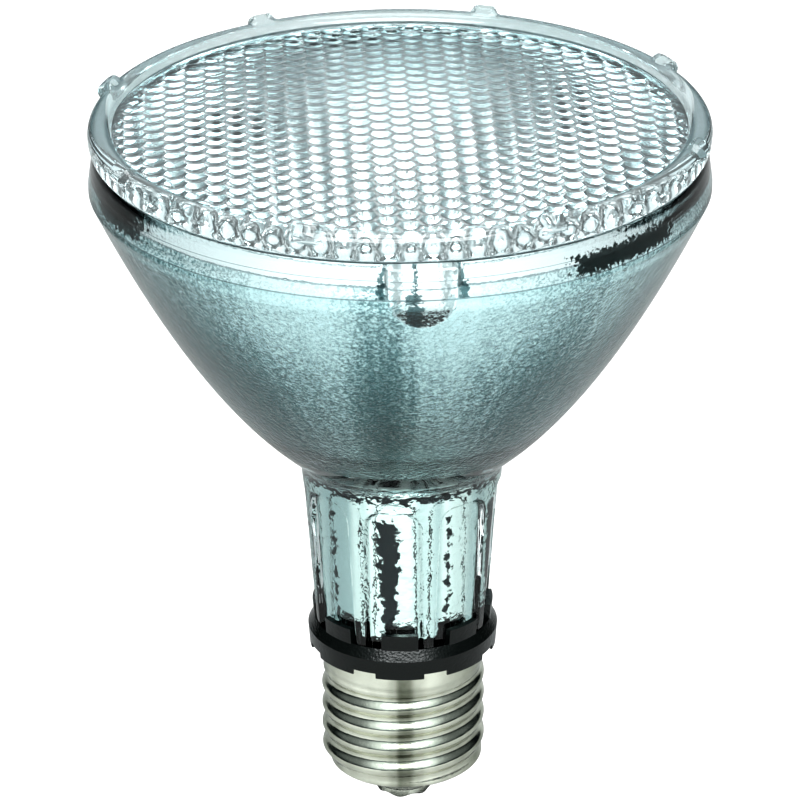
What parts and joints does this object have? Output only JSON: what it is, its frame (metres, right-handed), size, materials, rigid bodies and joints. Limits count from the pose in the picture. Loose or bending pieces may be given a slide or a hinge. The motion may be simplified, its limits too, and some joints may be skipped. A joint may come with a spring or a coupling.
{
  "type": "par spotlight bulb",
  "caption": "Reflector spotlight lamp: mirrored glass bowl with a patterned front lens and fluted neck, on a black collar and a screw cap.",
  "frame": {"origin": "tip of the centre contact, on the lamp axis", "axes": "+Z along the lamp axis from the screw cap to the lens; -Y is the side the picture shows"},
  "size_m": [0.097, 0.097, 0.1198],
  "materials": {
    "mirrored_glass": "pressed glass, mirrored on the inside, finely stippled bowl",
    "lens_glass": "clear pressed glass with a lenslet pattern inside",
    "rim_cement": "grey lens cement",
    "quartz": "clear quartz",
    "arc_ceramic": "translucent sintered ceramic",
    "holder_ceramic": "unglazed ceramic",
    "burner_wire": "bare refractory metal",
    "foil": "thin bare foil",
    "getter": "sintered grey",
    "neck_cement": "cast cement",
    "lead_wire": "plated wire",
    "sleeve": "woven glass sleeve",
    "collar": "moulded black plastic",
    "cap_metal": "nickel-plated rolled sheet",
    "cap_glass": "dark cap glass",
    "contact": "plated contact",
    "solder": "soft solder"
  },
  "bodies": {
    "root": {"reflector_body": "mirrored_glass", "rim_cement": "rim_cement", "front_lens": "lens_glass", "burner_jacket": "quartz", "arc_tube": "arc_ceramic", "lower_electrode_lead": "burner_wire", "upper_electrode_lead": "burner_wire", "frame_wire": "burner_wire", "short_wire": "burner_wire", "getter": "getter", "left_foil": "foil", "right_foil": "foil", "left_pin": "lead_wire", "right_pin": "lead_wire", "burner_holder": "holder_ceramic", "neck_cement": "neck_cement", "centre_lead": "lead_wire", "side_lead": "lead_wire", "lead_sleeve": "sleeve", "collar": "collar", "screw_shell": "cap_metal", "cap_insulator": "cap_glass", "centre_contact": "contact", "centre_solder": "solder"}
  },
  "joints": []
}
